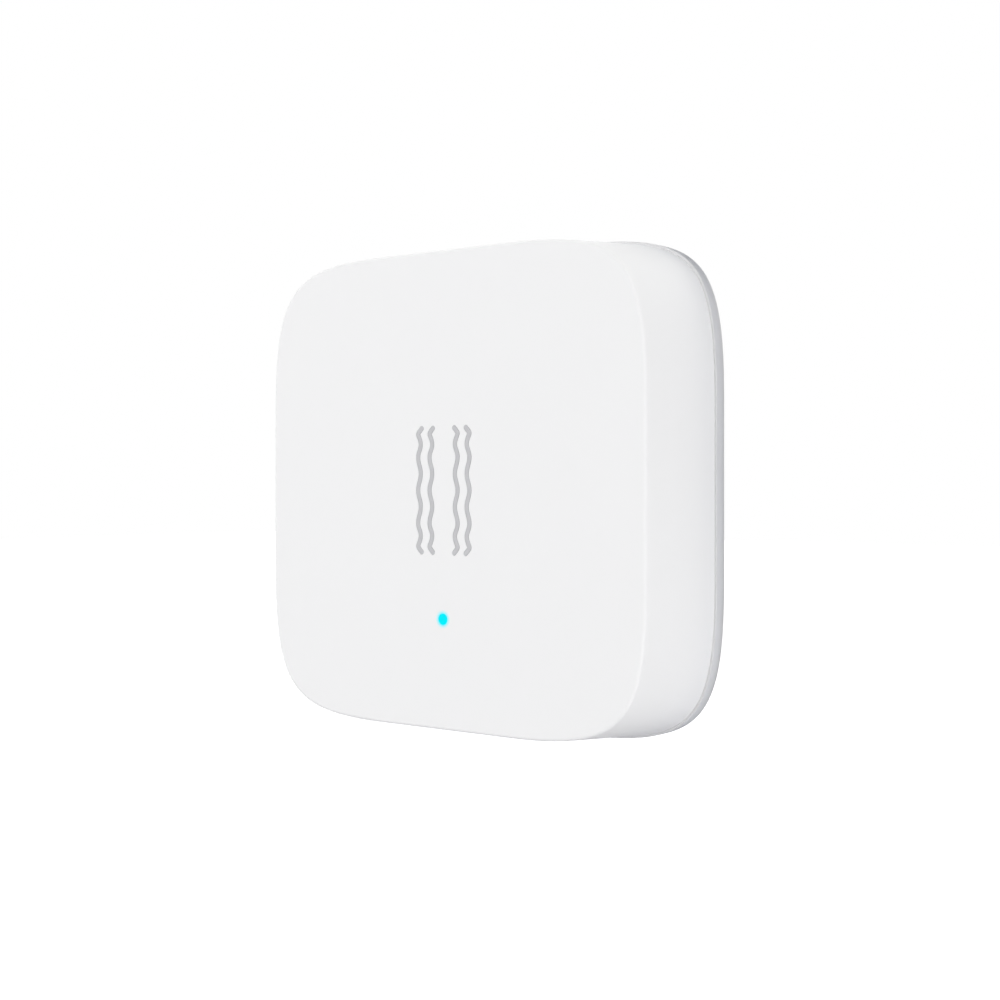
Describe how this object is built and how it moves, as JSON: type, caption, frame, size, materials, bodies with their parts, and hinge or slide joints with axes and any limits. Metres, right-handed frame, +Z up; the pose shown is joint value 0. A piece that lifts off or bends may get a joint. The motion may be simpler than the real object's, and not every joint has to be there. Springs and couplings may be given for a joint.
{
  "type": "vibration sensor tag",
  "caption": "Square wireless vibration sensor tag with long rounded corners, a grey base plate, a coin-slot battery door and an adhesive pad.",
  "frame": {"origin": "centre of the adhesive pad's outer face, which is the face that sticks to the wall", "axes": "+Y into the wall, -Y out of the front face, +Z up, +X to the right as seen from the front"},
  "size_m": [0.046, 0.0124, 0.046],
  "materials": {
    "shell_plastic": "fine moulded satin, white",
    "plate_plastic": "fine moulded matt, light grey",
    "pad_foam": "adhesive foam",
    "door_plastic": "fine moulded matt, light grey",
    "button_plastic": "satin, light grey",
    "light_pipe_plastic": "clear, lit",
    "cell_steel": "satin",
    "gasket_plastic": "matt",
    "cell_core": "pressed powder, matt",
    "board_laminate": "solder resist over glass laminate",
    "screw_steel": "zinc plated",
    "contact_steel": "nickel plated",
    "chip_plastic": "moulded resin",
    "tinned_metal": "tinned",
    "crystal_lid": "plated lid",
    "copper_track": "under solder resist",
    "capacitor_ceramic": "ceramic",
    "resistor_ceramic": "ceramic",
    "led_resin": "clear resin",
    "switch_plastic": "moulded",
    "plunger_plastic": "moulded"
  },
  "bodies": {
    "housing": {"front_shell": "shell_plastic", "base_plate": "plate_plastic", "adhesive_pad": "pad_foam", "light_pipe": "light_pipe_plastic", "cell_can": "cell_steel", "cell_cap": "cell_steel", "cell_gasket": "gasket_plastic", "cell_core": "cell_core", "circuit_board": "board_laminate", "board_screws": "screw_steel", "positive_contact": "contact_steel", "negative_contact": "contact_steel", "radio_chip": "chip_plastic", "memory_chip": "chip_plastic", "memory_chip_legs": "tinned_metal", "motion_sensor_chip": "chip_plastic", "crystal": "crystal_lid", "antenna": "copper_track", "chip_capacitors": "capacitor_ceramic", "chip_resistors": "resistor_ceramic", "indicator_led": "led_resin", "switch_case": "switch_plastic", "switch_cover": "tinned_metal", "switch_terminals": "tinned_metal"},
    "battery_door": {"battery_door": "door_plastic"},
    "reset_button": {"reset_button": "button_plastic"},
    "switch_plunger": {"switch_plunger": "plunger_plastic"}
  },
  "joints": [
    {"name": "battery_door_turn", "type": "hinge", "parent": "housing", "child": "battery_door", "pos_m": [0, -0.001, 0], "axis": [0, 1, 0], "range_deg": [0, 40]},
    {"name": "reset_button_press", "type": "slide", "parent": "housing", "child": "reset_button", "axis": [1, 0, 0], "range_m": [0, 0.0003], "stiffness_N_per_m": 1500, "springref_m": -0.0003},
    {"name": "switch_plunger_press", "type": "slide", "parent": "housing", "child": "switch_plunger", "axis": [1, 0, 0], "range_m": [0, 0.0003]}
  ],
  "couplings": [
    {"joint": "switch_plunger_press", "follows": "reset_button_press", "ratio": 1}
  ]
}
